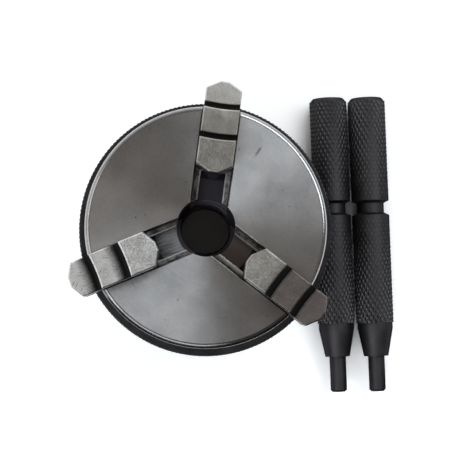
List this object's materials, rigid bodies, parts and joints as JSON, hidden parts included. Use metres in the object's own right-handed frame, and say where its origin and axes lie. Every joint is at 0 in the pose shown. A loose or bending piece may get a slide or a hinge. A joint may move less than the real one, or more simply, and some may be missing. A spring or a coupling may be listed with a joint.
{
  "type": "lathe chuck",
  "caption": "Small self-centring lathe chuck with stepped jaws, a hand-turned knurled scroll ring, a threaded back hub and two knurled tommy bars.",
  "frame": {"origin": "centre of the spindle thread's mouth, in the hub's back face", "axes": "+Z along the spindle axis, from the back face out through the jaws; +Y along jaw 1"},
  "size_m": [0.0838, 0.0784, 0.0459],
  "materials": {
    "turned_steel": "turned, bright",
    "ground_steel": "hardened and ground",
    "ring_oxide": "black oxide, diamond knurled",
    "hub_oxide": "black oxide",
    "screw_oxide": "black oxide",
    "bar_oxide": "black oxide, diamond knurled"
  },
  "bodies": {
    "chuck_body": {"jaw_body": "turned_steel", "back_hub": "hub_oxide", "clamp_screw_1": "screw_oxide", "clamp_screw_2": "screw_oxide", "clamp_screw_3": "screw_oxide"},
    "ring": {"scroll_ring": "ring_oxide"},
    "jaw_a": {"jaw_1": "ground_steel"},
    "jaw_b": {"jaw_2": "ground_steel"},
    "jaw_c": {"jaw_3": "ground_steel"},
    "bar_a": {"tommy_bar_1": "bar_oxide"},
    "bar_b": {"tommy_bar_2": "bar_oxide"}
  },
  "joints": [
    {"name": "scroll_turn", "type": "hinge", "parent": "chuck_body", "child": "ring", "pos_m": [0, 0, 0.0184], "axis": [0, 0, 1], "range_deg": [-1210, 615]},
    {"name": "jaw_1_slide", "type": "slide", "parent": "chuck_body", "child": "jaw_a", "axis": [0, 1, 0], "range_m": [-0.0118, 0.006]},
    {"name": "jaw_2_slide", "type": "slide", "parent": "chuck_body", "child": "jaw_b", "axis": [-0.866, -0.5, 0], "range_m": [-0.0118, 0.006]},
    {"name": "jaw_3_slide", "type": "slide", "parent": "chuck_body", "child": "jaw_c", "axis": [0.866, -0.5, 0], "range_m": [-0.0118, 0.006]},
    {"name": "bar_1_draw", "type": "slide", "parent": "chuck_body", "child": "bar_a", "axis": [-0.1668, 0.986, 0], "range_m": [0, 0.08]},
    {"name": "bar_2_draw", "type": "slide", "parent": "chuck_body", "child": "bar_b", "axis": [-0.1668, 0.986, 0], "range_m": [0, 0.08]}
  ],
  "couplings": [
    {"joint": "jaw_1_slide", "follows": "scroll_turn", "m_per_rad": 0.00055704},
    {"joint": "jaw_2_slide", "follows": "scroll_turn", "m_per_rad": 0.00055704},
    {"joint": "jaw_3_slide", "follows": "scroll_turn", "m_per_rad": 0.00055704}
  ]
}
